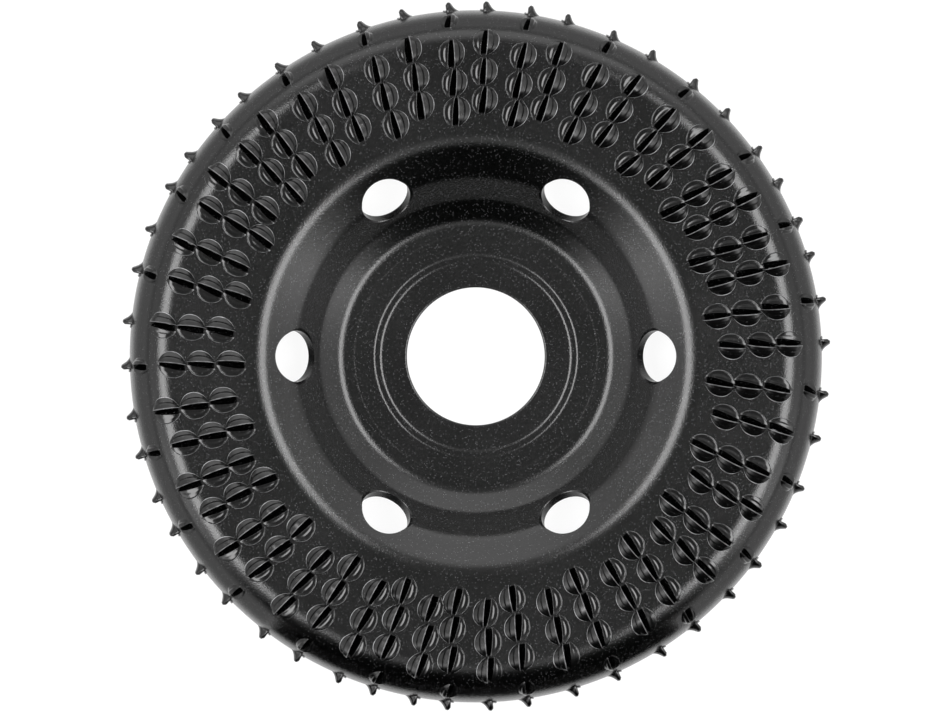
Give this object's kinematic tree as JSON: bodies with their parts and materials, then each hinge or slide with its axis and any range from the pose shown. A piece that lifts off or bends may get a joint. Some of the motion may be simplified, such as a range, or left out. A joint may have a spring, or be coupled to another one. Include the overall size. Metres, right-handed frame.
{
  "type": "angle grinder carving disc",
  "caption": "Dished steel carving disc for an angle grinder, with a recessed hub, a plain centre bore, vent holes and raised rasp teeth on its face and rim.",
  "frame": {"origin": "centre of the bore in the plane of the hub's back face, which is the lowest plane of the disc", "axes": "+Z along the spindle axis out of the toothed working face; +X through the centre of one vent hole; the disc turns counterclockwise about +Z when it cuts"},
  "size_m": [0.1146, 0.1147, 0.0131],
  "materials": {
    "powder_coat": "satin black powder coat with a fine pale speckle",
    "tooth_coat": "semi-gloss black powder coat, thinned and brighter on the cutting edges"
  },
  "bodies": {
    "root": {"disc_body": "powder_coat", "face_tooth_row_01": "tooth_coat", "face_tooth_row_02": "tooth_coat", "face_tooth_row_03": "tooth_coat", "face_tooth_row_04": "tooth_coat", "face_tooth_row_05": "tooth_coat", "face_tooth_row_06": "tooth_coat", "face_tooth_row_07": "tooth_coat", "face_tooth_row_08": "tooth_coat", "face_tooth_row_09": "tooth_coat", "face_tooth_row_10": "tooth_coat", "face_tooth_row_11": "tooth_coat", "face_tooth_row_12": "tooth_coat", "face_tooth_row_13": "tooth_coat", "face_tooth_row_14": "tooth_coat", "face_tooth_row_15": "tooth_coat", "face_tooth_row_16": "tooth_coat", "face_tooth_row_17": "tooth_coat", "face_tooth_row_18": "tooth_coat", "face_tooth_row_19": "tooth_coat", "face_tooth_row_20": "tooth_coat", "face_tooth_row_21": "tooth_coat", "face_tooth_row_22": "tooth_coat", "face_tooth_row_23": "tooth_coat", "face_tooth_row_24": "tooth_coat", "face_tooth_row_25": "tooth_coat", "face_tooth_row_26": "tooth_coat", "face_tooth_row_27": "tooth_coat", "face_tooth_row_28": "tooth_coat", "face_tooth_row_29": "tooth_coat", "face_tooth_row_30": "tooth_coat", "face_tooth_row_31": "tooth_coat", "face_tooth_row_32": "tooth_coat", "face_tooth_row_33": "tooth_coat", "face_tooth_row_34": "tooth_coat", "face_tooth_row_35": "tooth_coat", "face_tooth_row_36": "tooth_coat", "face_tooth_row_37": "tooth_coat", "face_tooth_row_38": "tooth_coat", "face_tooth_row_39": "tooth_coat", "face_tooth_row_40": "tooth_coat", "face_tooth_row_41": "tooth_coat", "face_tooth_row_42": "tooth_coat", "face_tooth_row_43": "tooth_coat", "face_tooth_row_44": "tooth_coat", "face_tooth_row_45": "tooth_coat", "face_tooth_row_46": "tooth_coat", "face_tooth_row_47": "tooth_coat", "face_tooth_row_48": "tooth_coat", "face_tooth_row_49": "tooth_coat", "face_tooth_row_50": "tooth_coat"}
  },
  "joints": []
}
